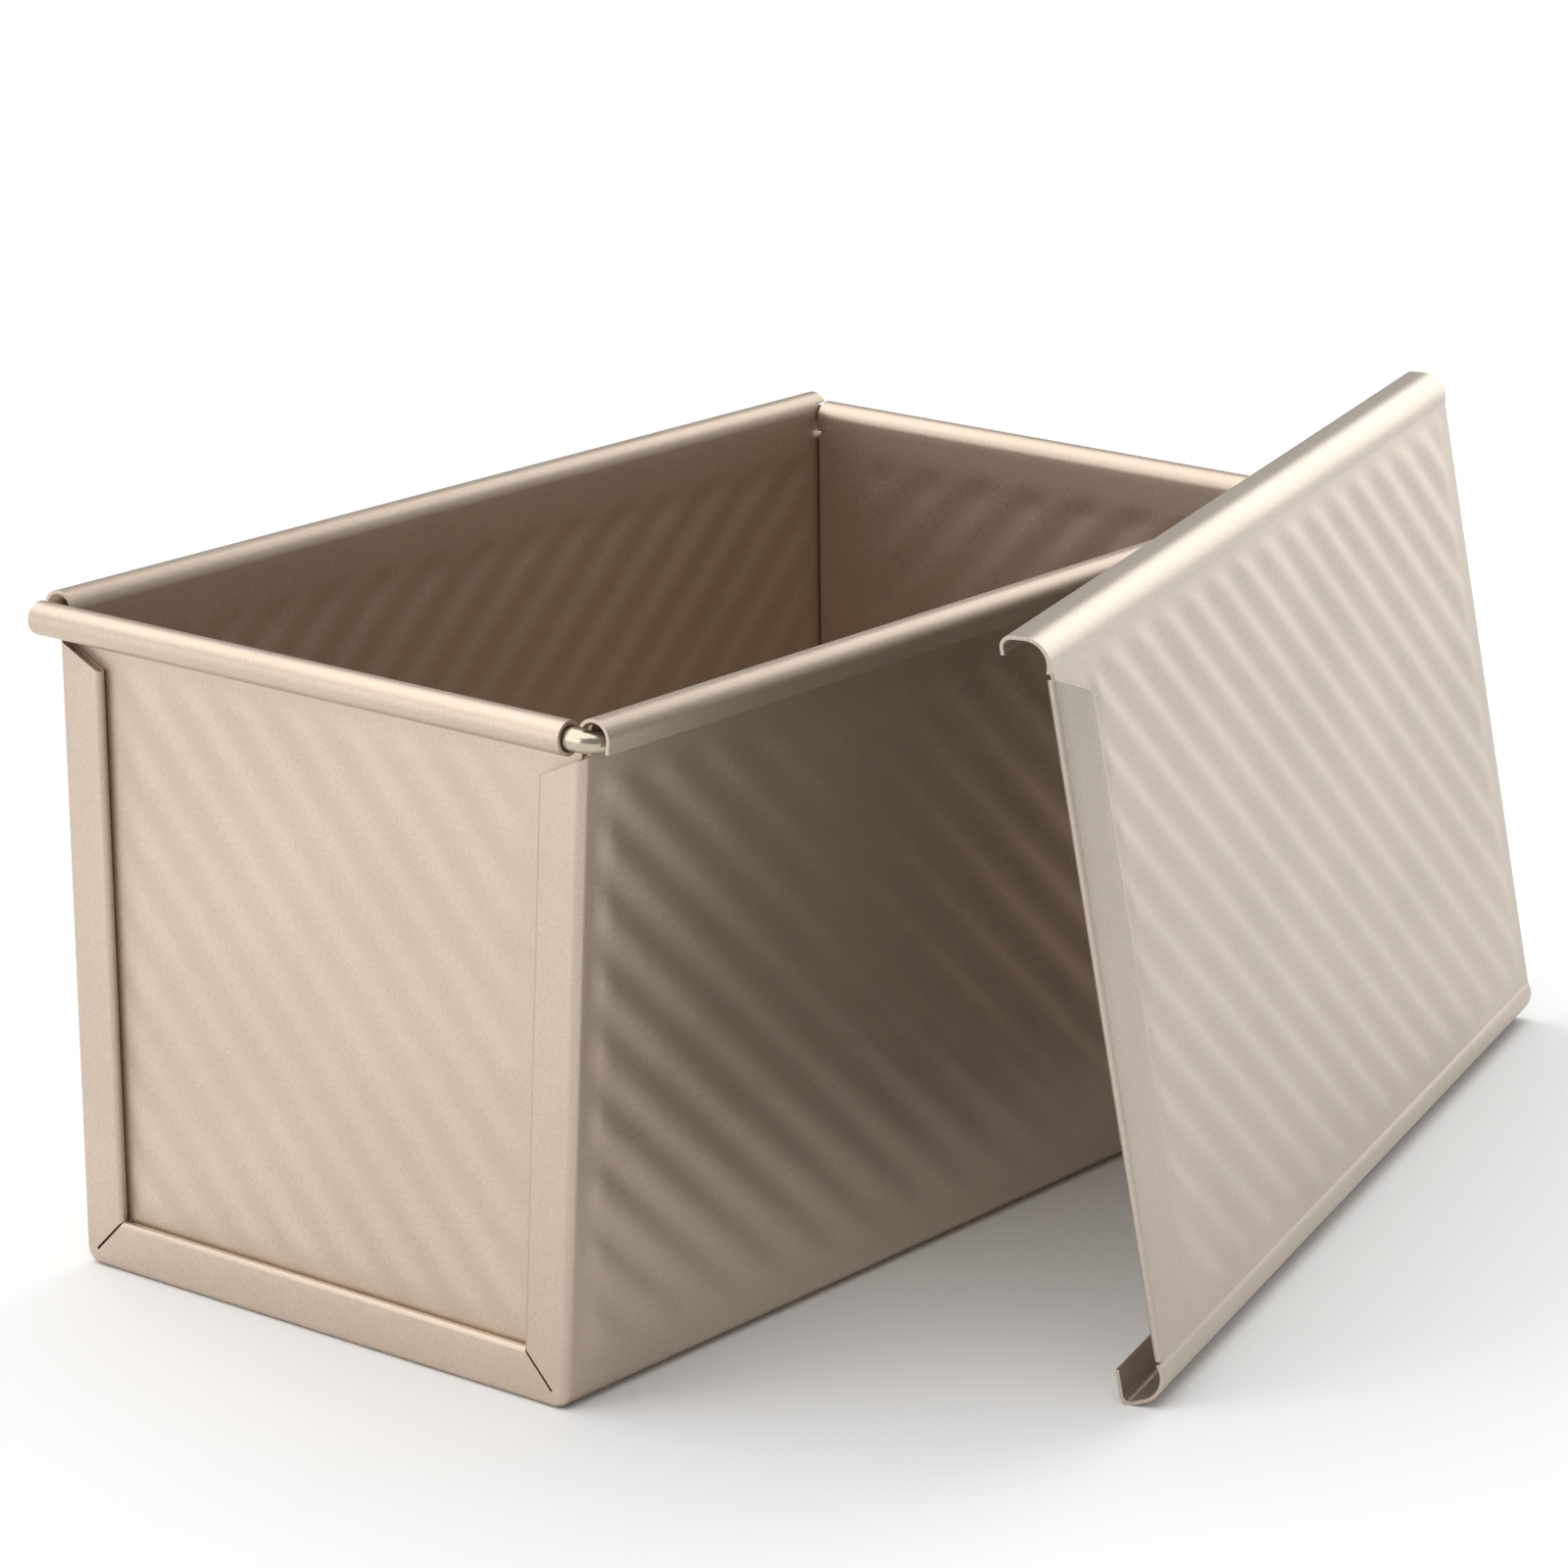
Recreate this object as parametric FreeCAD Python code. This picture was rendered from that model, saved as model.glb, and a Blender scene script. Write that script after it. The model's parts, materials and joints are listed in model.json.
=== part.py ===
import FreeCAD, Part
import math
import os

from FreeCAD import Placement, Rotation, Vector

# A corrugated loaf pan with a sliding lid. Millimetres and degrees. The origin is the middle of
# the pan's underside, +X runs along the pan to its rear end and +Z is up. The lid stands on its
# edge beside the long wall on the -Y side and leans on that wall's rim.

# Sheet and wire.
sheet = 0.6
wire_diameter = 3.7
wire_play = 0.35
layer_play = 0.06

# The pan's trough: over its folded end frames, over its walls at the floor, and up to its rim.
body_length = 202.0
base_width = 103.8
rim_height = 113.2
wall_draft = 1.7
corner_radius = 3.0
end_bend_radius = 1.4

# The rim. The long walls end in open beads over the wire, whose outer edge leans in a little. The end
# walls end in rolls round the wire, which lie lower than the beads.
bead_radius = 3.15
bead_close = 5.0
bead_leg = 1.8
bead_overhang = 2.6
end_roll_drop = 1.2
roll_angle = 300.0
wire_corner_radius = 2.5
wire_corner_steps = 4
wire_end_recess = 4.0
roll_end_lap = 0.4
roll_end_gap = 0.4
rim_relief = 0.1

# The front roll ends short of the wire's bend at the corner in view and laps the opposite corner.
front_roll_bare = 5.0
front_roll_lap = 1.0

# The frame that the trough folds over each end wall, and the seam inside it.
frame_width = 8.8
frame_top_drop = 4.6
mitre_gap = 0.4
mitre_root = 0.2
seam_end_play = 0.1
seam_top_play = 0.4
seam_tab = 2.0

# The diagonal ribs pressed into every panel.
rib_pitch = 8.5
rib_width = 7.9
rib_crest = 2.7
rib_height = 0.5
rib_sink = 0.04
rib_fade = 3.0
rib_shortest = 14.0
rib_angle_long = 41.0
rib_angle_end = 47.5
wall_rib_margin = 4.0
wall_rib_low = 5.0
end_rib_margin = 0.6
base_rib_margin = 6.0

# The lid: its sheet rises from the panel, bends down outside the rim bead, flares a little and
# hooks under the bead's edge.
lid_length = 213.0
lid_over_rim = 0.15
lid_under_bead = 0.25
lid_beside_bead = 0.25
lid_rise = 0.9
lid_rise_bend = 1.0
lid_crest_bend = 2.6
lid_flare = 10.0
lid_hook_bend = 0.8
lid_hook_reach = 1.0
lid_rib_margin = 1.2
lid_rib_end = 4.0

# The hem folded onto the lid's outer face at the end that is pulled. It rises from its fold to a
# lip that is turned down onto the panel.
hem_width = 12.0
hem_bend = 0.45
hem_tilt = 9.0
hem_lip_bend = 0.8
hem_lip_gap = 0.12
hem_corner_trim = 5.0
hem_side_gap = 0.6

# How the lid stands beside the pan.
lid_yaw = 15.4
lid_lean = 10.9
lid_stand_gap = 0.4
lid_stand_play = 0.6
lid_settle_steps = 6
lid_near_x = -45.0

# Sizes that follow.
half_sheet = sheet / 2
roll_middle = wire_diameter / 2 + wire_play + half_sheet
roll_outer = roll_middle + half_sheet
roll_height = rim_height - end_roll_drop - roll_outer
wall_top = roll_height - roll_outer - rim_relief
bead_middle = bead_radius - half_sheet
bead_height = rim_height - bead_radius
draft = math.radians(wall_draft)
corner_angle = 90 - wall_draft
corner_y = base_width / 2 + corner_radius * (math.tan(draft) - 1 / math.cos(draft))
end_x = body_length / 2
layer_step = sheet + layer_play
end_wall_depth = 3 * layer_step
end_wall_middle = end_wall_depth + half_sheet
seam_fold = sheet + seam_end_play + layer_step + half_sheet
roll_x = end_x - end_wall_middle + roll_middle
roll_end = roll_x - wire_corner_radius + roll_end_lap
bead_end = roll_end + bead_overhang
lapped_roll_end = roll_x - roll_outer - roll_end_gap


def wall_outer_y(height):
    return base_width / 2 + height * math.tan(draft)


def turned(point, centre, turn):
    spoke = point - centre
    across = spoke.x * math.cos(turn) - spoke.y * math.sin(turn)
    along = spoke.x * math.sin(turn) + spoke.y * math.cos(turn)
    return centre + Vector(across, along, 0)


def folded_strip(start, heading, moves):
    """A face of sheet in the XY plane, along a middle line of runs and of bends to the left."""
    point = Vector(start[0], start[1], 0)
    angle = math.radians(heading)
    sides = {half_sheet: [], -half_sheet: []}
    for move in moves:
        ahead = Vector(math.cos(angle), math.sin(angle), 0)
        left = Vector(-ahead.y, ahead.x, 0)
        if move[0] == "run":
            for offset, edges in sides.items():
                near = point + left * offset
                edges.append(Part.LineSegment(near, near + ahead * move[1]).toShape())
            point = point + ahead * move[1]
        else:
            turn = math.radians(move[2])
            centre = point + left * math.copysign(move[1], turn)
            for offset, edges in sides.items():
                near = point + left * offset
                middle = turned(near, centre, turn / 2)
                edges.append(Part.Arc(near, middle, turned(near, centre, turn)).toShape())
            point = turned(point, centre, turn)
            angle += turn
    first, second = sides.values()
    caps = []
    for end in (0, -1):
        corners = [edges[end].Vertexes[end].Point for edges in (first, second)]
        caps.append(Part.LineSegment(*corners).toShape())
    outline = Part.sortEdges(first + second + caps)[0]
    return Part.Face(Part.Wire(outline))


def set_in(shape, origin, x_axis, y_axis):
    """The shape moved from the XY plane to a frame with these axes."""
    axes = [Vector(*x_axis), Vector(*y_axis)]
    axes.append(axes[0].cross(axes[1]))
    placed = shape.copy()
    placed.Placement = Placement(Vector(*origin), Rotation(*axes, "XYZ"))
    return placed


def prism(points, low, high):
    corners = [Vector(x, y, low) for x, y in points]
    return Part.Face(Part.makePolygon(corners + corners[:1])).extrude(Vector(0, 0, high - low))


def across(shape):
    return shape.mirror(Vector(0, 0, 0), Vector(0, 1, 0))


def at_rear(shape):
    rear = shape.copy()
    rear.rotate(Vector(0, 0, 0), Vector(0, 0, 1), 180)
    return rear


def rib_section():
    """One rib across its run: two flanks and a flat crest."""
    foot = rib_width / 2
    crest = rib_crest / 2
    points = [(-foot, 0), (foot, 0), (crest, rib_height), (-crest, rib_height)]
    corners = [Vector(x, y, 0) for x, y in points]
    return Part.Face(Part.makePolygon(corners + corners[:1]))


def rib_envelope(low, high):
    """A low block with sloping sides, whose slopes are where the ribs of a field fade."""
    left, right = (low[0], 1), (high[0], -1)
    near, far = (low[1], 1), (high[1], -1)
    corners = [(left, near), (right, near), (right, far), (left, far)]
    bottom = [Vector(x, y, -rib_sink) for (x, _), (y, _) in corners]
    top = [Vector(x + u * rib_fade, y + v * rib_fade, rib_height) for (x, u), (y, v) in corners]
    faces = [bottom, top]
    for place in range(4):
        after = (place + 1) % 4
        faces.append([bottom[place], bottom[after], top[after], top[place]])
    faces = [Part.Face(Part.makePolygon(ring + ring[:1])) for ring in faces]
    return Part.Solid(Part.Shell(faces))


def rib_field(low, high, slope):
    """Parallel ribs that fall to the right over a field of the XY plane and fade at its border."""
    angle = math.radians(slope)
    along = Vector(math.cos(angle), -math.sin(angle), 0)
    beside = Vector(math.sin(angle), math.cos(angle), 0)
    middle = Vector((low[0] + high[0]) / 2, (low[1] + high[1]) / 2, -rib_sink)
    half_u = (high[0] - low[0]) / 2
    half_v = (high[1] - low[1]) / 2
    reach = half_u + half_v
    count = int(reach / rib_pitch)
    ribs = []
    for step in range(-count, count + 1):
        centre = beside * (step * rib_pitch)
        spans = []
        for place, way, half in ((centre.x, along.x, half_u), (centre.y, along.y, half_v)):
            spans.append(sorted([(-half - place) / way, (half - place) / way]))
        if min(spans[0][1], spans[1][1]) - max(spans[0][0], spans[1][0]) > rib_shortest:
            bar = rib_section().extrude(Vector(0, 0, 2 * reach))
            ribs.append(set_in(bar, middle + centre - along * reach, beside, (0, 0, 1)))
    return rib_envelope(low, high).common(ribs)


def ribbed(body, field):
    """The sheet pressed out into the ribs of a field that lies on one of its faces."""
    crests, normal = field
    hollows = crests.copy()
    hollows.translate(normal * -sheet)
    return body.fuse(crests.Solids).cut(hollows.Solids)


def mitre_cut():
    """What the mitre at a lower corner of the end frame takes off, seen on the end face."""
    half_corner = math.radians((90 + wall_draft) / 2)
    along = Vector(math.sin(half_corner), math.cos(half_corner), 0)
    root = Vector(corner_radius, 0, 0) + Vector(-along.y, along.x, 0) * (mitre_gap / 2)
    far = root + along * (3 * frame_width)
    low = -frame_width
    return [(root.x, root.y), (far.x, far.y), (far.x, low), (root.x, low)]


def on_end_face(points):
    """A cutting block through the depth of the end frame, from points across and along a side."""
    block = prism([(a, -e) for a, e in points], -end_bend_radius, 3 * end_wall_depth)
    return set_in(block, (0, 0, 0), (1, 0, 0), (0, 0, -1))


def side_axes():
    return (0, -math.cos(draft), math.sin(draft)), (1, 0, 0)


def side_origin():
    out = corner_y + corner_radius * math.cos(draft)
    return -end_x, out, corner_radius * (1 - math.sin(draft))


def frame_side(section, start, top, top_drop):
    """One upright of a seam on the +Y side, mitred at its foot and cut slantwise at its top."""
    length = (top - side_origin()[2]) / math.cos(draft)
    strip = section.extrude(Vector(0, 0, length - start))
    strip.translate(Vector(0, 0, start))
    over = frame_width + 2
    slope = top_drop / frame_width
    slant = [(-1, length + slope), (over, length - over * slope), (over, length + 5), (-1, length + 5)]
    strip = strip.cut([on_end_face(mitre_cut()), on_end_face(slant)])
    return set_in(strip, side_origin(), *side_axes())


def frame_foot(section, start):
    """The bar of a seam along the base, mitred at both ends."""
    length = 2 * corner_y
    strip = section.extrude(Vector(0, 0, length - 2 * start))
    strip.translate(Vector(0, 0, start))
    near = on_end_face(mitre_cut())
    far = near.mirror(Vector(0, 0, length / 2), Vector(0, 0, 1))
    strip = strip.cut([near, far])
    return set_in(strip, (-end_x, -corner_y, 0), (0, 0, 1), (1, 0, 0))


def body_seam():
    """The trough's edge over the end wall: bent in, run flat and hemmed back on itself."""
    hem_start = frame_width - layer_step - half_sheet
    return folded_strip(
        (half_sheet, end_bend_radius),
        -90,
        [
            ("bend", end_bend_radius - half_sheet, 90),
            ("run", hem_start - end_bend_radius),
            ("bend", layer_step, 180),
            ("run", hem_start - seam_fold - seam_end_play),
        ],
    )


def wall_seam():
    """The end wall's edge: folded back so that it hooks into the trough's hem."""
    hem_start = frame_width - layer_step - half_sheet
    tip = hem_start - seam_end_play
    return folded_strip(
        (tip, layer_step + half_sheet),
        180,
        [("run", tip - seam_fold), ("bend", layer_step, -180), ("run", seam_tab)],
    )


def frame_corner():
    """The rounded lower corner where the frame's upright and foot meet outside their mitre."""
    bend = end_bend_radius
    shoulder = bend * (1 - math.sqrt(0.5))
    hub = corner_radius - mitre_root
    points = [(0, bend), (shoulder, shoulder), (bend, 0), (hub, 0), (hub, sheet), (sheet, bend)]
    corners = [Vector(a, b, 0) for a, b in points]
    section = Part.Face(Part.makePolygon(corners + corners[:1]))
    corner = section.revolve(Vector(corner_radius, 0, 0), Vector(0, 1, 0), -corner_angle)
    return set_in(corner, side_origin(), *side_axes())


def trough_half():
    """Half of the trough's section: base, corner and wall, and the bead above the wall."""
    bend = corner_radius - half_sheet
    bend_end = corner_radius - bend * math.sin(draft)
    rise = (wall_top - bend_end) / math.cos(draft)
    bead_start = (bead_height + bead_middle * math.sin(draft) - wall_top) / math.cos(draft)
    wall = folded_strip(
        (0, half_sheet),
        0,
        [("run", corner_y), ("bend", bend, corner_angle), ("run", rise)],
    )
    foot = (corner_y + bend * math.cos(draft) + rise * math.sin(draft), wall_top)
    bead_turn = 180 - wall_draft + bead_close
    bead = folded_strip(
        foot,
        corner_angle,
        [("run", bead_start), ("bend", bead_middle, -bead_turn), ("run", bead_leg)],
    )
    roll_y = foot[0] + bead_start * math.sin(draft) + bead_middle * math.cos(draft)
    return wall, bead, roll_y


def bead_tip():
    """The lowest corner of the bead's outer edge, and the inner face of that edge, on the +Y side."""
    close = math.radians(bead_close)
    height = bead_height - bead_radius * math.sin(close) - bead_leg * math.cos(close)
    inner = (bead_middle - half_sheet) * math.cos(close) - bead_leg * math.sin(close)
    return trough_half()[2] + inner, height


def wire_notch():
    """The room at the ends of a bead where the wire bends away under it, on the +Y side."""
    low = wall_top - 1
    high = roll_height + wire_diameter / 2 + wire_play
    half = trough_half()[2] + wire_diameter / 2 + wire_play
    notches = []
    for start in (-bead_end - 1, roll_end):
        corner = Vector(start, 0, low)
        notches.append(Part.makeBox(bead_overhang + 1, half, high - low, corner))
    return notches


def body_shell():
    """The trough: one sheet for base and long walls, beaded at the rim and folded at both ends."""
    wall, bead, roll_y = trough_half()
    wall_end = end_x - end_bend_radius
    strips = []
    for section, start, end in (
        (wall, -wall_end, wall_end),
        (bead, -bead_end, bead_end),
        (bead, -lapped_roll_end, bead_end),
    ):
        strip = section.extrude(Vector(0, 0, end - start))
        strips.append(set_in(strip, (start, 0, 0), (0, 1, 0), (0, 0, 1)))
    half, near_bead, far_bead = strips
    near_bead = near_bead.cut(wire_notch())
    far_bead = far_bead.cut(wire_notch())
    front = [frame_side(body_seam(), 0, wall_top, frame_top_drop), frame_corner()]
    front += [across(piece) for piece in front]
    front.append(frame_foot(body_seam(), 0))
    pieces = [half, across(half), across(near_bead), far_bead]
    pieces += front + [at_rear(piece) for piece in front]
    body = pieces[0].multiFuse(pieces[1:])
    reach = end_x - wall_rib_margin
    slant = 1 / math.cos(draft)
    field = rib_field(
        (-reach, wall_rib_low * slant),
        (reach, (wall_top - rib_fade) * slant),
        rib_angle_long,
    )
    wall_ribs = set_in(
        field, (0, -base_width / 2, 0), (1, 0, 0), (0, -math.sin(draft), math.cos(draft))
    )
    out = Vector(0, -math.cos(draft), -math.sin(draft))
    for ribs, normal in ((wall_ribs, out), (at_rear(wall_ribs), Vector(0, -out.y, out.z))):
        body = ribbed(body, (ribs, normal))
    reach_x = end_x - base_rib_margin
    reach_y = corner_y - base_rib_margin
    base_field = rib_field((-reach_x, -reach_y), (reach_x, reach_y), -rib_angle_long)
    base_field.translate(Vector(0, 0, sheet))
    return ribbed(body, (base_field, Vector(0, 0, 1))).removeSplitter()


def end_wall(roll_from, roll_to):
    """An end wall at the front: hooked into the trough on three sides, rolled over the wire on top."""
    inset = seam_fold + seam_end_play
    outline = []
    roll_foot = wall_top + seam_top_play
    for height in (inset, roll_foot):
        outline.append((wall_outer_y(height) - inset / math.cos(draft), height))
    outline += [(-y, z) for y, z in reversed(outline)]
    panel = prism(outline, 0, sheet)
    panel = set_in(panel, (-end_x + end_wall_depth, 0, 0), (0, 1, 0), (0, 0, 1))
    roll = folded_strip(
        (0, roll_foot),
        90,
        [("run", roll_height - roll_foot), ("bend", roll_middle, -roll_angle)],
    )
    roll = roll.extrude(Vector(0, 0, roll_to - roll_from))
    roll = set_in(roll, (-end_x + end_wall_middle, roll_from, 0), (-1, 0, 0), (0, 0, 1))
    hook_top = wall_top - seam_top_play
    side = frame_side(wall_seam(), seam_top_play, hook_top, frame_top_drop)
    foot = frame_foot(wall_seam(), seam_top_play)
    wall = panel.multiFuse([roll, side, across(side), foot])
    reach = wall_outer_y(frame_width) - frame_width - end_rib_margin
    field = rib_field(
        (-reach, frame_width + end_rib_margin),
        (reach, wall_top - rib_fade),
        rib_angle_end,
    )
    ribs = set_in(field, (-end_x + end_wall_depth, 0, 0), (0, -1, 0), (0, 0, 1))
    return ribbed(wall, (ribs, Vector(-1, 0, 0))).removeSplitter()


def rim_wire():
    """The wire in the rim, bent at three corners, with both its ends inside rolls at the fourth."""
    roll_y = trough_half()[2]
    step = 90 / wire_corner_steps
    bend = wire_corner_radius / math.cos(math.radians(step / 2))
    path = [(-roll_x, roll_y)]
    for quarter, side_x, side_y in ((2, -1, -1), (3, 1, -1), (4, 1, 1)):
        middle_x = side_x * (roll_x - wire_corner_radius)
        middle_y = side_y * (roll_y - wire_corner_radius)
        for knee in range(wire_corner_steps):
            angle = math.radians(90 * quarter + (knee + 0.5) * step)
            path.append((middle_x + bend * math.cos(angle), middle_y + bend * math.sin(angle)))
    path.append((-lapped_roll_end + wire_end_recess, roll_y))
    path = [Vector(x, y, roll_height) for x, y in path]
    ways = [(after - before).normalize() for before, after in zip(path, path[1:])]
    lengths = []
    for place, way in enumerate(ways):
        before = path[place] if place == 0 else path[place] - way * wire_diameter
        after = path[place + 1] if place + 1 == len(ways) else path[place + 1] + way * wire_diameter
        length = Part.makeCylinder(wire_diameter / 2, (after - before).Length, before, way)
        knees = []
        if place > 0:
            knees.append((path[place], -way - ways[place - 1]))
        if place + 1 < len(ways):
            knees.append((path[place + 1], way + ways[place + 1]))
        for knee, beyond in knees:
            reach = 2 * wire_diameter
            block = Part.makeBox(2 * reach, 2 * reach, reach, Vector(-reach, -reach, 0))
            block.Placement = Placement(knee, Rotation(Vector(0, 0, 1), beyond))
            length = length.cut(block)
        lengths.append(length)
    return lengths[0].multiFuse(lengths[1:]).removeSplitter()


def lid_on_rim():
    """The lid in place on the pan, its panel over the rim and its channels round the beads."""
    panel_middle = rim_height + lid_over_rim + half_sheet
    crest = panel_middle + lid_rise
    tip_inner, tip = bead_tip()
    leg = tip - lid_under_bead - half_sheet
    flare = math.radians(lid_flare)
    side = bead_radius + lid_beside_bead + half_sheet
    roll_y = trough_half()[2]
    middles = []
    for bend, height in ((lid_crest_bend, crest - lid_crest_bend), (lid_hook_bend, leg + lid_hook_bend)):
        out = (side - bend - (height - bead_height) * math.sin(flare)) / math.cos(flare)
        middles.append(Vector(roll_y + out, height, 0))
    crest_middle, hook_middle = middles
    side_run = (hook_middle - crest_middle).dot(Vector(math.sin(flare), -math.cos(flare), 0))
    lean = math.acos(1 - lid_rise / (lid_rise_bend + lid_crest_bend))
    flat = crest_middle.x - (lid_rise_bend + lid_crest_bend) * math.sin(lean)
    hook = hook_middle.x - (tip_inner - lid_hook_reach)
    section = folded_strip(
        (0, panel_middle),
        0,
        [
            ("run", flat),
            ("bend", lid_rise_bend, math.degrees(lean)),
            ("bend", lid_crest_bend, lid_flare - 90 - math.degrees(lean)),
            ("run", side_run),
            ("bend", lid_hook_bend, -90 - lid_flare),
            ("run", hook),
        ],
    )
    near = -lid_length / 2
    fold = hem_bend + half_sheet
    half = section.extrude(Vector(0, 0, lid_length - fold))
    half = set_in(half, (near + fold, 0, 0), (0, 1, 0), (0, 0, 1))
    hem_half = flat - hem_side_gap
    tilt = math.radians(hem_tilt)
    hem_reach = hem_width - fold - hem_lip_bend - half_sheet - (hem_lip_bend - hem_bend) * math.sin(tilt)
    hem_run = hem_reach / math.cos(tilt)
    lip_middle = hem_bend - (hem_lip_bend - hem_bend) * math.cos(tilt) + hem_run * math.sin(tilt)
    lip_drop = lip_middle - half_sheet - hem_lip_gap
    hem = folded_strip(
        (near + 2 * fold, panel_middle),
        180,
        [
            ("run", fold),
            ("bend", hem_bend, hem_tilt - 180),
            ("run", hem_run),
            ("bend", hem_lip_bend, -90 - hem_tilt),
            ("run", lip_drop),
        ],
    )
    hem = hem.extrude(Vector(0, 0, 2 * hem_half))
    hem = set_in(hem, (0, hem_half, 0), (1, 0, 0), (0, 0, 1))
    trim = [
        (near, hem_half),
        (near + 2 * hem_width, hem_half - 2 * hem_corner_trim),
        (near + 2 * hem_width, hem_half + 1),
        (near, hem_half + 1),
    ]
    upper = panel_middle + half_sheet + (hem_bend - half_sheet) / 2
    corner = prism(trim, upper, upper + hem_width)
    hem = hem.cut([corner, across(corner)])
    lid = half.multiFuse([across(half), hem])
    reach = flat - lid_rib_margin
    field = rib_field(
        (near + hem_width + lid_rib_end, -reach),
        (-near - lid_rib_end, reach),
        rib_angle_long,
    )
    field.translate(Vector(0, 0, panel_middle + half_sheet))
    return ribbed(lid, (field, Vector(0, 0, 1))).removeSplitter()


def lid_beside_pan(pan):
    """The lid as it stands: on its lower channel, its inner face against the long wall's rim.

    Where its upper channel isn't clear above the rim, that channel leans on the bead or the wall.
    """
    lid = lid_on_rim()
    lid.translate(Vector(0, 0, -rim_height - lid_over_rim))
    lid.rotate(Vector(0, 0, 0), Vector(1, 0, 0), 90 - lid_lean)
    lid.rotate(Vector(0, 0, 0), Vector(0, 0, 1), lid_yaw)
    yaw = math.radians(lid_yaw)
    lean = math.radians(lid_lean)
    along = Vector(math.cos(yaw), math.sin(yaw), 0)
    outward = Vector(math.sin(yaw), -math.cos(yaw), 0)
    face = outward * math.cos(lean) + Vector(0, 0, math.sin(lean))
    drop = -lid.BoundBox.ZMin
    rest = Vector(bead_end, -trough_half()[2], bead_height)
    reach = face.dot(rest) + bead_radius * math.hypot(face.y, face.z)
    tip_inner, tip = bead_tip()
    depth = lid_over_rim + rim_height - tip + lid_under_bead + sheet
    hook_height = (tip_inner - lid_hook_reach) * math.cos(lean) - depth * math.sin(lean) + drop
    if hook_height < rim_height + lid_stand_gap:
        reach += depth
    stand_off = (reach + lid_stand_gap - drop * face.z) / math.cos(lean)
    near = (along * (-lid_length / 2) + outward * stand_off).x
    lid.translate(outward * stand_off + along * ((lid_near_x - near) / along.x) + Vector(0, 0, drop))
    for _ in range(lid_settle_steps):
        gap = lid.distToShape(pan)[0]
        if gap <= lid_stand_play:
            break
        lid.translate(outward * (lid_stand_gap - gap))
    return lid


def build():
    roll_y = trough_half()[2]
    rear_reach = roll_y - bead_radius - roll_end_gap
    pan = body_shell()
    return {
        "body_shell": pan,
        "front_end_wall": end_wall(front_roll_bare - roll_y, roll_y + front_roll_lap),
        "rear_end_wall": at_rear(end_wall(-rear_reach, rear_reach)),
        "rim_wire": rim_wire(),
        "lid": lid_beside_pan(pan),
    }


if __name__ == "__main__":
    os.makedirs("parts", exist_ok=True)
    for name, shape in build().items():
        print(name, len(shape.Solids), shape.isValid(), round(shape.Volume, 1), shape.BoundBox)
        shape.Solids[0].exportStep(f"parts/{name}.step")
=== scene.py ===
import json
import math

import bmesh
import bpy
from mathutils import Matrix, Vector


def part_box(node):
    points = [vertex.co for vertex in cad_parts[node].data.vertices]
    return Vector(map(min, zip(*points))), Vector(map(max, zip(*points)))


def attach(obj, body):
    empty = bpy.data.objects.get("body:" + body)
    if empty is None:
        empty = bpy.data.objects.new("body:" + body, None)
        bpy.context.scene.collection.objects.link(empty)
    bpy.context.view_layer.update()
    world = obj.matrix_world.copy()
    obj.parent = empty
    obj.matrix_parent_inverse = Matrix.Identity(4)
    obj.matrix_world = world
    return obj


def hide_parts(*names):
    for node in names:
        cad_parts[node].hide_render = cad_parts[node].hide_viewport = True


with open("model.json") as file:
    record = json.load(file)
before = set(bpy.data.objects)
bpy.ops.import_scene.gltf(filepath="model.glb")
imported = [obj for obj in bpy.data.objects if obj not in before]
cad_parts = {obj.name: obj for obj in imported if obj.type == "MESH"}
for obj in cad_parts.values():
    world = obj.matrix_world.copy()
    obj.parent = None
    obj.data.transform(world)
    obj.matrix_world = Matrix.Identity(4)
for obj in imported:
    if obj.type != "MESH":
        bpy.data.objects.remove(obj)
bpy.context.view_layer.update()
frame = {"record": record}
MM = 0.001

# The trough is one sheet of coated steel, pressed with soft diagonal ribs and bent up into a base
# and two long walls. Its long edges bend over the rim wire as open beads, and its short edges fold in
# over the end walls as a frame that is hemmed back on itself and mitred at the lower corners.
sheet = 0.6 * MM
layer_play = 0.06 * MM
wall_draft = math.radians(1.7)
corner_radius = 3.0 * MM
end_bend_radius = 1.4 * MM
bead_radius = 3.15 * MM
bead_close = math.radians(5)
bead_leg = 1.8 * MM
bead_past_end = 0.72 * MM
notch_from_end = 1.88 * MM
lapped_bead_from_end = 2.98 * MM
notch_under_rim = 1.75 * MM
wall_under_rim = 6.9 * MM
frame_width = 8.8 * MM
frame_slant = 4.6 * MM
seam_fold = 1.66 * MM
seam_play = 0.1 * MM
mitre_gap = 0.4 * MM
mitre_root = 0.2 * MM
grid = 1.5 * MM
corner_steps, bead_steps, end_bend_steps, hem_steps = 8, 24, 6, 10

trough_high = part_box("body_shell")[1]
bead_end = trough_high.x
end_x = bead_end - bead_past_end
rim_height = trough_high.z
bead_bend = bead_radius - sheet / 2
bead_y = trough_high.y - bead_radius
bead_z = rim_height - bead_radius
bead_turn = math.pi - wall_draft + bead_close
wall_top = rim_height - wall_under_rim
up_wall = Vector((0, math.sin(wall_draft), math.cos(wall_draft)))
out_wall = Vector((0, math.cos(wall_draft), -math.sin(wall_draft)))
bead_start = Vector((0, bead_y, bead_z)) - out_wall * bead_bend
corner_bend = corner_radius - sheet / 2
corner_reach = corner_bend + (bead_start.z - corner_radius) * math.sin(wall_draft)
corner_y = bead_start.y - corner_reach / math.cos(wall_draft)
corner_turn = math.pi / 2 - wall_draft
sheet_end = end_x - end_bend_radius
notch_end = end_x - notch_from_end
lapped_bead_end = end_x - lapped_bead_from_end
hem_bend = sheet + layer_play


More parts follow.
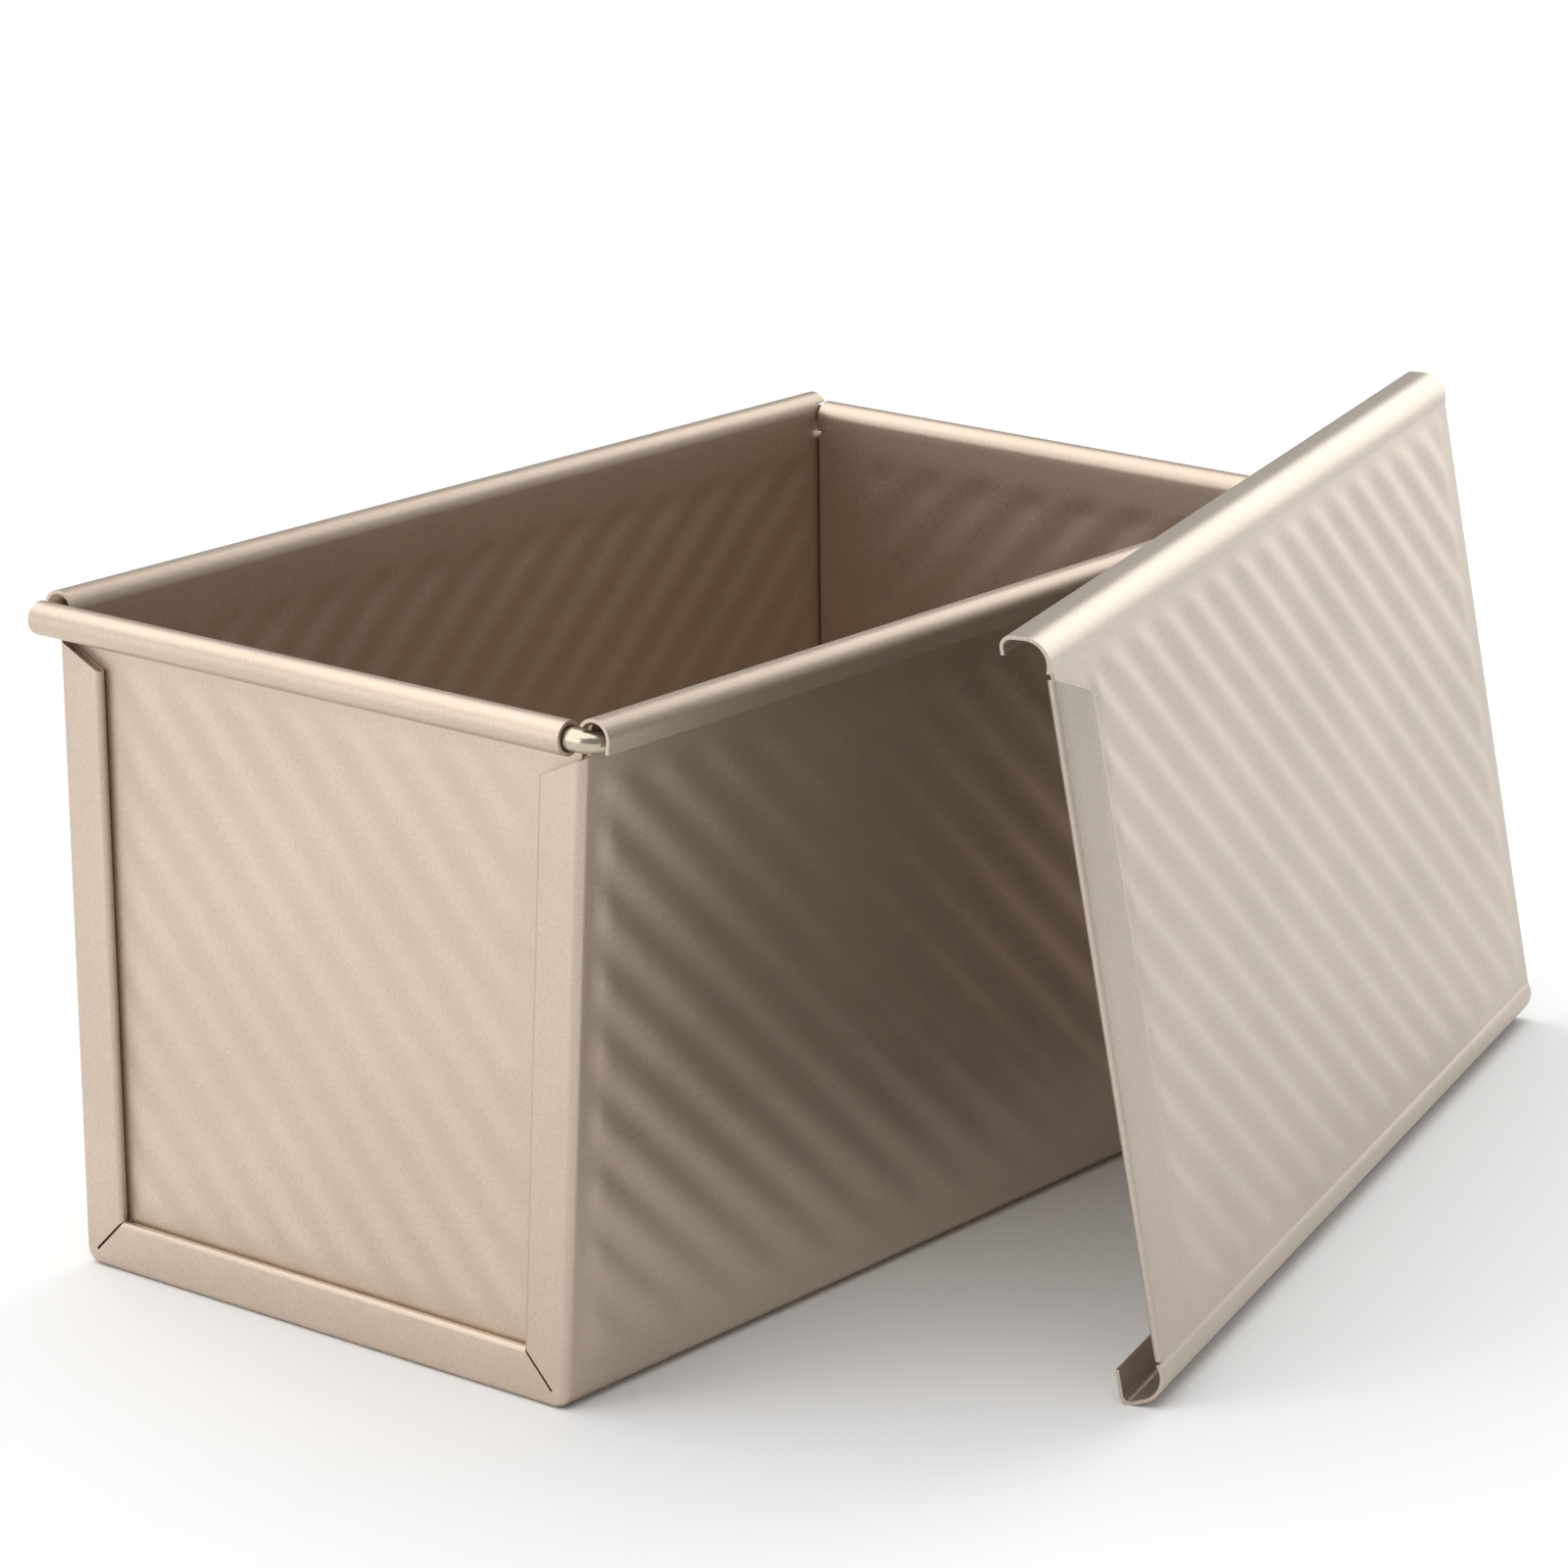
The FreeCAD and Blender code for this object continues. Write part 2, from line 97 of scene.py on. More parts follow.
def run_on(bm, tip, way, steps=1):
    for _ in range(steps):
        tip = bmesh.ops.extrude_vert_indiv(bm, verts=[tip])["verts"][0]
        bmesh.ops.translate(bm, verts=[tip], vec=way / steps)
    return tip


def turn(bm, geom, centre, axis, angle, steps):
    spun = bmesh.ops.spin(
        bm, geom=geom, cent=centre, axis=axis, angle=angle, steps=steps, use_merge=False, use_duplicate=False
    )
    return spun["geom_last"]


def draw_out(bm, geom, way, steps=1):
    drawn = bmesh.ops.spin(
        bm, geom=geom, cent=(0, 0, 0), axis=(1, 0, 0), dvec=way / steps, angle=0, steps=steps,
        use_merge=False, use_duplicate=False,
    )
    return drawn["geom_last"]


def edge_line(bm, on_line):
    """The mesh's open edges whose two ends both pass a test on their place."""
    return [e for e in bm.edges if e.is_boundary and all(on_line(v.co) for v in e.verts)]


def near(one, two):
    return abs(one - two) < 1e-6


bm = bmesh.new()
tip = bm.verts.new((-sheet_end, 0, sheet / 2))
tip = run_on(bm, tip, Vector((0, corner_y, 0)), round(corner_y / grid))
corner_centre = Vector((0, corner_y, corner_radius))
tip = turn(bm, [tip], corner_centre, (1, 0, 0), corner_turn, corner_steps)[0]
wall_foot = tip.co.copy()
wall_run = (wall_top - wall_foot.z) / up_wall.z
tip = run_on(bm, tip, up_wall * wall_run, round(wall_run / grid))
section = draw_out(bm, bm.verts[:] + bm.edges[:], Vector((sheet_end - notch_end, 0, 0)))
section = draw_out(bm, section, Vector((notch_end - lapped_bead_end, 0, 0)))
section = draw_out(bm, section, Vector((notch_end + lapped_bead_end, 0, 0)), round(2 * notch_end / grid))
draw_out(bm, section, Vector((sheet_end - notch_end, 0, 0)))

rim_edge = edge_line(bm, lambda co: near(co.z, wall_top) and abs(co.x) < notch_end + 1e-6)
bead = draw_out(bm, rim_edge, up_wall * ((bead_start.z - wall_top) / up_wall.z), 2)
bead = turn(bm, bead, (0, bead_y, bead_z), (1, 0, 0), -bead_turn, bead_steps)
draw_out(bm, bead, Vector((0, -math.sin(bead_close), -math.cos(bead_close))) * bead_leg, 2)
for side in (-1, 1):
    over_wire = edge_line(
        bm,
        lambda co: near(co.x, side * notch_end)
        and co.z > wall_top + 1e-6
        and (co.z > rim_height - notch_under_rim or co.y > bead_y),
    )
    draw_out(bm, over_wire, Vector((side * (bead_end - notch_end), 0, 0)))

upright = (wall_foot, -out_wall, up_wall)
foot = (Vector((0, 0, sheet / 2)), Vector((0, 0, 1)), Vector((0, 1, 0)))
mitre_way = (Vector((0, 0, 1)) - out_wall).normalized()
mitre_normal = Vector((0, mitre_way.z, -mitre_way.y))
slant_normal = (up_wall * frame_width - out_wall * frame_slant).normalized()
slant_start = wall_foot + up_wall * wall_run + out_wall * (sheet / 2)
hem_start = frame_width - hem_bend - sheet / 2


def trim(bm, before, cuts):
    """Cuts the faces made since then by planes, and drops what lies beyond each plane."""
    for centre, normal in cuts:
        faces = [f for f in bm.faces if f not in before]
        verts = {v for f in faces for v in f.verts}
        lines = {e for f in faces for e in f.edges}
        geom = faces + list(lines) + list(verts)
        bmesh.ops.bisect_plane(
            bm, geom=geom, dist=1e-7, plane_co=centre, plane_no=normal, clear_outer=True
        )


def fold_side(bm, edges, side, place, inward, along, cuts):
    """Folds one side of the sheet's end over the end wall, hems it, and trims it by planes."""
    before = set(bm.faces)
    edges = bmesh.ops.duplicate(bm, geom=edges)["geom"]
    end = Vector((side * sheet_end, place.y, place.z))
    deep = Vector((-side, 0, 0))
    bend = end + inward * (end_bend_radius - sheet / 2)
    fold = turn(bm, edges, bend, along, -side * math.pi / 2, end_bend_steps)
    fold = draw_out(bm, fold, inward * (hem_start - end_bend_radius))
    face = Vector((side * (end_x - sheet / 2), place.y, place.z)) + inward * (hem_start - sheet / 2)
    fold = turn(bm, fold, face + deep * hem_bend, along, -side * math.pi, hem_steps)
    draw_out(bm, fold, inward * (seam_fold + seam_play - hem_start))
    trim(bm, before, cuts)


for side in (-1, 1):
    ends = edge_line(bm, lambda co: near(co.x, side * sheet_end))
    wall_end = [e for e in ends if min(v.co.z for v in e.verts) > wall_foot.z - 1e-6]
    base_end = [e for e in ends if max(v.co.y for v in e.verts) < corner_y + 1e-6]
    corner_end = [e for e in ends if e not in wall_end and e not in base_end]
    mitre = mitre_normal * (mitre_gap / 2)
    fold_side(
        bm, wall_end, side, *upright, [(corner_centre + mitre, -mitre_normal), (slant_start, slant_normal)]
    )
    fold_side(bm, base_end, side, *foot, [(corner_centre - mitre, mitre_normal)])
    edges = corner_end
    radius = corner_bend
    depth = 0.0
    rings = []
    for step in range(1, end_bend_steps + 1):
        angle = math.radians(90 * step / end_bend_steps)
        bend = end_bend_radius - sheet / 2
        rings.append((corner_radius - end_bend_radius + bend * math.cos(angle), bend * math.sin(angle)))
    rings.append((mitre_root, rings[-1][1]))
    for ring_radius, ring_depth in rings:
        grown = bmesh.ops.extrude_edge_only(bm, edges=edges)["geom"]
        verts = [v for v in grown if isinstance(v, bmesh.types.BMVert)]
        shrink = ring_radius / radius
        bmesh.ops.scale(bm, vec=(1, shrink, shrink), verts=verts, space=Matrix.Translation(-corner_centre))
        bmesh.ops.translate(bm, vec=(side * (ring_depth - depth), 0, 0), verts=verts)
        edges = [e for e in grown if isinstance(e, bmesh.types.BMEdge) and all(v in verts for v in e.verts)]
        radius, depth = ring_radius, ring_depth

bmesh.ops.mirror(bm, geom=bm.verts[:] + bm.edges[:] + bm.faces[:], axis="Y", merge_dist=1e-6)
bmesh.ops.remove_doubles(bm, verts=bm.verts[:], dist=1e-6)
beads = [f for f in bm.faces if min(v.co.z for v in f.verts) > wall_top - 1e-6]
lapped = [f for f in beads if f.calc_center_median().y > 0 and f.calc_center_median().x < -lapped_bead_end]
bmesh.ops.delete(bm, geom=lapped, context="FACES")
bmesh.ops.recalc_face_normals(bm, faces=bm.faces[:])

rib_pitch = 8.5 * MM
rib_height = 0.42 * MM
rib_fade = 3.5 * MM
rib_slope = math.radians(41)
wall_rib_end = 4.0 * MM
wall_rib_low = 5.0 * MM
rib_under_top = 3.0 * MM
base_rib_margin = 6.0 * MM


def press_ribs(bm, origin, along, up, low, high, slope):
    """Pushes a flat field of the sheet out into soft parallel ribs that fade at its border."""
    out = along.cross(up)
    for vert in bm.verts:
        place = vert.co - origin
        u, v = place.dot(along), place.dot(up)
        inside = min(u - low[0], high[0] - u, v - low[1], high[1] - v)
        if inside <= 0 or abs(place.dot(out)) > sheet / 2:
            continue
        fade = min(inside / rib_fade, 1)
        middle_u, middle_v = (low[0] + high[0]) / 2, (low[1] + high[1]) / 2
        across = (u - middle_u) * math.sin(slope) + (v - middle_v) * math.cos(slope)
        wave = 0.5 + 0.5 * math.cos(math.tau * across / rib_pitch)
        vert.co += out * (rib_height * wave * fade * fade * (3 - 2 * fade))


wall_line = bead_start - up_wall * (bead_start.z / up_wall.z)
wall_rib_reach = end_x - wall_rib_end
wall_field = ((-wall_rib_reach, wall_rib_low), (wall_rib_reach, wall_top - rib_under_top))
press_ribs(bm, wall_line, Vector((-1, 0, 0)), up_wall, *wall_field, rib_slope)
opposite = Matrix.Rotation(math.pi, 3, "Z")
press_ribs(bm, opposite @ wall_line, Vector((1, 0, 0)), opposite @ up_wall, *wall_field, rib_slope)
base_rib_x, base_rib_y = end_x - base_rib_margin, corner_y - base_rib_margin
base_field = ((-base_rib_x, -base_rib_y), (base_rib_x, base_rib_y))
press_ribs(bm, foot[0], Vector((1, 0, 0)), Vector((0, 1, 0)), *base_field, -rib_slope)


edge_break = 0.12 * MM


def sheet_piece(bm, name, material, node, body):
    """A bent sheet given its thickness and softly broken edges, standing for one CAD node."""
    mesh = bpy.data.meshes.new(name)
    bm.to_mesh(mesh)
    bm.free()
    mesh.shade_smooth()
    mesh.materials.append(material)
    piece = bpy.data.objects.new(name, mesh)
    bpy.context.scene.collection.objects.link(piece)
    gauge = piece.modifiers.new("gauge", "SOLIDIFY")
    gauge.thickness = sheet
    gauge.offset = 0
    gauge.use_even_offset = True
    edges = piece.modifiers.new("edges", "BEVEL")
    edges.width = edge_break
    edges.segments = 2
    edges.limit_method = "ANGLE"
    edges.angle_limit = math.radians(50)
    edges.harden_normals = True
    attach(piece, body)
    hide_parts(node)
    return piece


coat_grain = bpy.data.node_groups.new("coat_grain", "ShaderNodeTree")
for socket, way, kind in (
    ("Colour", "INPUT", "NodeSocketColor"),
    ("Grain size", "INPUT", "NodeSocketFloat"),
    ("Gloss", "INPUT", "NodeSocketFloat"),
    ("Colour", "OUTPUT", "NodeSocketColor"),
    ("Roughness", "OUTPUT", "NodeSocketFloat"),
    ("Height", "OUTPUT", "NodeSocketFloat"),
):
    coat_grain.interface.new_socket(socket, in_out=way, socket_type=kind)
nodes, links = coat_grain.nodes, coat_grain.links
given = nodes.new("NodeGroupInput")
result = nodes.new("NodeGroupOutput")
place = nodes.new("ShaderNodeTexCoord")
speck = nodes.new("ShaderNodeTexNoise")
speck.inputs["Detail"].default_value = 3
speck.inputs["Roughness"].default_value = 0.65
links.new(place.outputs["Object"], speck.inputs["Vector"])
links.new(given.outputs["Grain size"], speck.inputs["Scale"])
cloud = nodes.new("ShaderNodeTexNoise")
cloud.inputs["Scale"].default_value = 38
cloud.inputs["Detail"].default_value = 3
links.new(place.outputs["Object"], cloud.inputs["Vector"])
tone = nodes.new("ShaderNodeMath")
tone.operation = "MULTIPLY"
for factor, noise, darkest, lightest in ((0, speck, 0.9, 1.09), (1, cloud, 0.97, 1.03)):
    spread = nodes.new("ShaderNodeMapRange")
    spread.inputs["From Min"].default_value = 0.3
    spread.inputs["From Max"].default_value = 0.7
    spread.inputs["To Min"].default_value = darkest
    spread.inputs["To Max"].default_value = lightest
    links.new(noise.outputs["Fac"], spread.inputs["Value"])
    links.new(spread.outputs["Result"], tone.inputs[factor])
shade = nodes.new("ShaderNodeVectorMath")
shade.operation = "SCALE"
links.new(given.outputs["Colour"], shade.inputs[0])
links.new(tone.outputs["Value"], shade.inputs["Scale"])
links.new(shade.outputs["Vector"], result.inputs["Colour"])
dull = nodes.new("ShaderNodeMath")
dull.operation = "MULTIPLY_ADD"
dull.inputs[1].default_value = 0.14
links.new(speck.outputs["Fac"], dull.inputs[0])
links.new(given.outputs["Gloss"], dull.inputs[2])
links.new(dull.outputs["Value"], result.inputs["Roughness"])
links.new(speck.outputs["Fac"], result.inputs["Height"])


grain_depth = 0.05 * MM


def coated_steel(name, colour, grain, gloss, bump):
    """Satin metallic coating: fine speckle in tone and gloss, and a faint grain in relief."""
    material = bpy.data.materials.new(name)
    material.use_nodes = True
    nodes, links = material.node_tree.nodes, material.node_tree.links
    shader = nodes["Principled BSDF"]
    shader.inputs["Metallic"].default_value = 0.9
    coat = nodes.new("ShaderNodeGroup")
    coat.node_tree = coat_grain
    coat.inputs["Colour"].default_value = (*colour, 1)
    coat.inputs["Grain size"].default_value = grain
    coat.inputs["Gloss"].default_value = gloss
    relief = nodes.new("ShaderNodeBump")
    relief.inputs["Strength"].default_value = bump
    relief.inputs["Distance"].default_value = grain_depth
    links.new(coat.outputs["Height"], relief.inputs["Height"])
    links.new(relief.outputs["Normal"], shader.inputs["Normal"])
    links.new(coat.outputs["Colour"], shader.inputs["Base Color"])
    links.new(coat.outputs["Roughness"], shader.inputs["Roughness"])
    return material


pan_coat = coated_steel("pan_coat", colour=(0.61, 0.51, 0.415), grain=2400, gloss=0.34, bump=0.35)
sheet_piece(bm, "trough", pan_coat, "body_shell", "pan")

# Each end wall is a ribbed panel of the same sheet. Its sides and foot fold back into the trough's
# hem as a lock seam, and its top edge rolls outwards over the wire. The front roll stops short of the
# wire's bend at one corner and laps the other.
panel_depth = 3 * hem_bend + sheet / 2
panel_x = end_x - panel_depth
panel_over_wall = 0.4 * MM
panel_top = wall_top + panel_over_wall
seam_slack = 0.4 * MM
seam_depth = hem_start - seam_play - seam_fold
end_slope = math.radians(47.5)
end_rib_margin = 0.6 * MM
roll_radius = 2.8 * MM
roll_turn = math.radians(300)
roll_drop = 1.2 * MM
seam_steps, roll_line_steps, roll_steps = 8, 12, 36
roll_bend = roll_radius - sheet / 2
roll_x = panel_x + roll_bend
roll_z = rim_height - roll_drop - roll_radius


def wall_outer_y(height):
    return wall_line.y + sheet / 2 / math.cos(wall_draft) + height * math.tan(wall_draft)


def end_wall(name, node, roll_from, roll_to, turned):
    bm = bmesh.new()
    low_half = wall_outer_y(seam_fold) - seam_fold / math.cos(wall_draft)
    top_half = wall_outer_y(panel_top) - seam_fold / math.cos(wall_draft)
    tip = bm.verts.new((-panel_x, 0, seam_fold))
    run_on(bm, tip, Vector((0, low_half, 0)), round(low_half / grid))
    rise = panel_top - seam_fold
    draw_out(bm, bm.verts[:] + bm.edges[:], Vector((0, 0, rise)), round(rise / grid))
    for vert in bm.verts:
        share = (vert.co.z - seam_fold) / rise
        vert.co.y *= 1 + share * (top_half / low_half - 1)
    side = edge_line(bm, lambda co: co.y > low_half - 1e-6 + (co.z - seam_fold) * math.tan(wall_draft))
    base = edge_line(bm, lambda co: near(co.z, seam_fold))
    fold_line = Vector((-panel_x - hem_bend, low_half, seam_fold))
    mitre = mitre_normal * (mitre_gap / 2)
    slant = slant_start - up_wall * seam_slack
    for edges, along, inward, cuts in (
        (side, up_wall, -out_wall, [(corner_centre + mitre, -mitre_normal), (slant, slant_normal)]),
        (base, Vector((0, 1, 0)), Vector((0, 0, 1)), [(corner_centre - mitre, mitre_normal)]),
    ):
        before = set(bm.faces)
        edges = bmesh.ops.duplicate(bm, geom=edges)["geom"]
        hook = turn(bm, edges, fold_line, along, math.pi, seam_steps)
        draw_out(bm, hook, inward * seam_depth)
        trim(bm, before, cuts)
    bmesh.ops.mirror(bm, geom=bm.verts[:] + bm.edges[:] + bm.faces[:], axis="Y", merge_dist=1e-6)
    bmesh.ops.remove_doubles(bm, verts=bm.verts[:], dist=1e-6)
    reach = wall_outer_y(frame_width) - frame_width - end_rib_margin
    field = ((-reach, frame_width + end_rib_margin), (reach, wall_top - rib_under_top))
    press_ribs(bm, Vector((-panel_x, 0, 0)), Vector((0, -1, 0)), Vector((0, 0, 1)), *field, end_slope)
    tip = bm.verts.new((-panel_x, roll_from, panel_top))
    run_on(bm, tip, Vector((0, roll_to - roll_from, 0)), roll_line_steps)
    line = [e for e in bm.edges if not e.link_faces]
    rolled = draw_out(bm, line, Vector((0, 0, roll_z - panel_top)), 2)
    turn(bm, rolled, (-roll_x, 0, roll_z), (0, 1, 0), -roll_turn, roll_steps)
    bmesh.ops.recalc_face_normals(bm, faces=bm.faces[:])
    bmesh.ops.rotate(bm, verts=bm.verts[:], cent=(0, 0, 0), matrix=Matrix.Rotation(turned, 3, "Z"))
    return sheet_piece(bm, name, pan_coat, node, "pan")


front_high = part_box("front_end_wall")[1]
roll_end_gap = 0.4 * MM
front_bare = 5.0 * MM
rear_roll = bead_y - bead_radius - roll_end_gap
end_wall("front_wall", "front_end_wall", front_bare - bead_y, front_high.y, 0)
end_wall("rear_wall", "rear_end_wall", -rear_roll, rear_roll, math.pi)

# The rim wire is round steel rod, bent at three corners where it shows bare between roll and bead.
# Its two ends lie inside the roll and the bead that meet at the fourth corner.
wire_radius = 1.85 * MM
wire_corner = 2.5 * MM
wire_recess = 4.0 * MM
wire_sides, wire_steps = 28, 12
bm = bmesh.new()
ring_place = Matrix.Translation((-roll_x, bead_y, roll_z)) @ Matrix.Rotation(math.pi / 2, 4, "X")
bmesh.ops.create_circle(bm, cap_ends=True, radius=wire_radius, segments=wire_sides, matrix=ring_place)
ring = bm.edges[:]
half_x, half_y = roll_x - wire_corner, bead_y - wire_corner
ring = draw_out(bm, ring, Vector((0, -bead_y - half_y, 0)))
ring = turn(bm, ring, (-half_x, -half_y, roll_z), (0, 0, 1), math.pi / 2, wire_steps)
ring = draw_out(bm, ring, Vector((2 * half_x, 0, 0)))
ring = turn(bm, ring, (half_x, -half_y, roll_z), (0, 0, 1), math.pi / 2, wire_steps)
ring = draw_out(bm, ring, Vector((0, 2 * half_y, 0)))
ring = turn(bm, ring, (half_x, half_y, roll_z), (0, 0, 1), math.pi / 2, wire_steps)
ring = draw_out(bm, ring, Vector((wire_recess - lapped_bead_end - half_x, 0, 0)))
bmesh.ops.edgeloop_fill(bm, edges=[e for e in ring if isinstance(e, bmesh.types.BMEdge)])
bmesh.ops.recalc_face_normals(bm, faces=bm.faces[:])
wire_mesh = bpy.data.meshes.new("wire")
bm.to_mesh(wire_mesh)
bm.free()
wire_mesh.shade_smooth()
wire_mesh.set_sharp_from_angle(angle=math.radians(50))
wire_steel = coated_steel("wire_steel", colour=(0.56, 0.49, 0.39), grain=1500, gloss=0.18, bump=0.06)
wire_mesh.materials.append(wire_steel)
wire = bpy.data.objects.new("wire", wire_mesh)
bpy.context.scene.collection.objects.link(wire)
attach(wire, "pan")
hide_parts("rim_wire")

# The lid is a ribbed sheet whose long edges bend down outside the rim's beads and hook under them, one
# further than the other, so that it slides on from one end. The end that is pulled is folded onto the
# outer face, with a lip. Off the pan, it stands on one channel and leans on the long wall's rim.
lid_length = 213.0 * MM
lid_over_rim = 0.15 * MM
lid_under_bead = 0.95 * MM
lid_beside_bead = 0.25 * MM
lid_rise = 0.3 * MM
lid_rise_bend = 1.0 * MM
lid_crest_bend = 4.2 * MM
lid_flare = math.radians(10)
lid_hook_bend = 1.5 * MM
lid_hook_reach = 1.0 * MM
lower_hook_more = 3.0 * MM
lid_lean = math.radians(10.9)
hem_width = 12.0 * MM
lid_hem_bend = 0.45 * MM
hem_tilt = math.radians(9)
lip_bend = 0.8 * MM
lip_gap = 0.12 * MM
hem_trim = 5.0 * MM
hem_side_gap = 0.6 * MM
lid_rib_side = 1.2 * MM
lid_rib_end = 4.0 * MM
rise_steps, crest_steps, hook_steps = 6, 16, 10

panel_z = lid_over_rim + sheet / 2
crest = panel_z + lid_rise
bead_tip = -bead_radius - bead_radius * math.sin(bead_close) - bead_leg * math.cos(bead_close)
bead_inner = bead_y + (bead_bend - sheet / 2) * math.cos(bead_close) - bead_leg * math.sin(bead_close)
leg = bead_tip - lid_under_bead - sheet / 2
side = bead_radius + lid_beside_bead + sheet / 2
crest_z = crest - lid_crest_bend
hook_z = leg + lid_hook_bend
crest_y = side - lid_crest_bend - (crest_z + bead_radius) * math.sin(lid_flare)
crest_y = bead_y + crest_y / math.cos(lid_flare)
hook_y = side - lid_hook_bend - (hook_z + bead_radius) * math.sin(lid_flare)
hook_y = bead_y + hook_y / math.cos(lid_flare)
rise_turn = math.acos(1 - lid_rise / (lid_rise_bend + lid_crest_bend))
flat = crest_y - (lid_rise_bend + lid_crest_bend) * math.sin(rise_turn)
side_way = Vector((0, math.sin(lid_flare), -math.cos(lid_flare)))
side_run = Vector((0, hook_y - crest_y, hook_z - crest_z)).dot(side_way)
hook = hook_y - bead_inner + lid_hook_reach
fold = lid_hem_bend + sheet / 2
near_x = -lid_length / 2
hem_half = flat - hem_side_gap

bm = bmesh.new()
tip = bm.verts.new((near_x + fold, 0, panel_z))
tip = run_on(bm, tip, Vector((0, hem_half, 0)), round(hem_half / grid))
tip = run_on(bm, tip, Vector((0, hem_side_gap, 0)))
tip = turn(bm, [tip], (0, flat, panel_z + lid_rise_bend), (1, 0, 0), rise_turn, rise_steps)[0]
crest_turn = lid_flare - math.pi / 2 - rise_turn
tip = turn(bm, [tip], (0, crest_y, crest_z), (1, 0, 0), crest_turn, crest_steps)[0]
tip = run_on(bm, tip, side_way * side_run)
tip = turn(bm, [tip], (0, hook_y, hook_z), (1, 0, 0), -math.pi / 2 - lid_flare, hook_steps)[0]
run_on(bm, tip, Vector((0, -hook, 0)))
bmesh.ops.mirror(bm, geom=bm.verts[:] + bm.edges[:], axis="Y", merge_dist=1e-6)
draw_out(bm, bm.verts[:] + bm.edges[:], Vector((lid_length - fold, 0, 0)), round(lid_length / grid))
lower_hook = edge_line(bm, lambda co: near(co.y, hook - hook_y) and near(co.z, leg))
draw_out(bm, lower_hook, Vector((0, lower_hook_more, 0)))
front_edge = edge_line(bm, lambda co: near(co.x, near_x + fold) and abs(co.y) < hem_half + 1e-6)
before = set(bm.faces)
hem_line = (near_x + fold, 0, panel_z + lid_hem_bend)
folded = turn(bm, front_edge, hem_line, (0, 1, 0), math.pi - hem_tilt, hem_steps)
tighter = lip_bend - lid_hem_bend
hem_reach = hem_width - fold - lip_bend - sheet / 2 - tighter * math.sin(hem_tilt)
hem_run = hem_reach / math.cos(hem_tilt)
lip_z = lid_hem_bend - tighter * math.cos(hem_tilt) + hem_run * math.sin(hem_tilt)
folded = draw_out(bm, folded, Vector((hem_reach, 0, hem_run * math.sin(hem_tilt))), 4)
lip_x = near_x + hem_width - lip_bend - sheet / 2
folded = turn(bm, folded, (lip_x, 0, panel_z + lip_z), (0, 1, 0), math.pi / 2 + hem_tilt, hem_steps)
draw_out(bm, folded, Vector((0, 0, sheet / 2 + lip_gap - lip_z)))
hem_cuts = []
for end in (-1, 1):
    across_hem = Vector((hem_trim, end * hem_width, 0)).normalized()
    hem_cuts.append(((near_x, end * hem_half, 0), across_hem))
trim(bm, before, hem_cuts)
reach = flat - lid_rib_side
lid_field = ((near_x + hem_width + lid_rib_end, -reach), (-near_x - lid_rib_end, reach))
bmesh.ops.recalc_face_normals(bm, faces=bm.faces[:])
press_ribs(bm, Vector((0, 0, panel_z)), Vector((1, 0, 0)), Vector((0, 1, 0)), *lid_field, rib_slope)
lid_way = Vector(frame["record"]["behaviour"]["joints"][0]["axis"])
lid_yaw = math.atan2(lid_way.y, lid_way.x)
stance = Matrix.Rotation(lid_yaw, 3, "Z") @ Matrix.Rotation(math.pi / 2 - lid_lean, 3, "X")
bmesh.ops.rotate(bm, verts=bm.verts[:], cent=(0, 0, 0), matrix=stance)
lid_coat = coated_steel("lid_coat", colour=(0.60, 0.525, 0.445), grain=2400, gloss=0.34, bump=0.35)
lid = sheet_piece(bm, "lid_sheet", lid_coat, "lid", "cover")
lid_box = [Vector(corner) for corner in lid.evaluated_get(bpy.context.evaluated_depsgraph_get()).bound_box]
lid_low, lid_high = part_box("lid")
lid_shift = (lid_low + lid_high) / 2 - sum(lid_box, Vector()) / 8
lid_shift.z = lid_low.z - min(corner.z for corner in lid_box)
lid.data.transform(Matrix.Translation(lid_shift))

# The stage is a wide pale floor in a dim surround, under a broad soft lamp. Two weaker soft lamps at
# the rear left and the right give the rim its long highlights and light the lid's face.
bm = bmesh.new()
bmesh.ops.create_grid(bm, x_segments=2, y_segments=2, size=6.0)
floor_mesh = bpy.data.meshes.new("floor")
bm.to_mesh(floor_mesh)
bm.free()
floor_paint = bpy.data.materials.new("floor_paint")
floor_paint.use_nodes = True
floor_shader = floor_paint.node_tree.nodes["Principled BSDF"]
floor_shader.inputs["Base Color"].default_value = (0.94, 0.94, 0.94, 1)
floor_shader.inputs["Roughness"].default_value = 0.8
floor_mesh.materials.append(floor_paint)
floor = bpy.data.objects.new("floor", floor_mesh)
bpy.context.scene.collection.objects.link(floor)

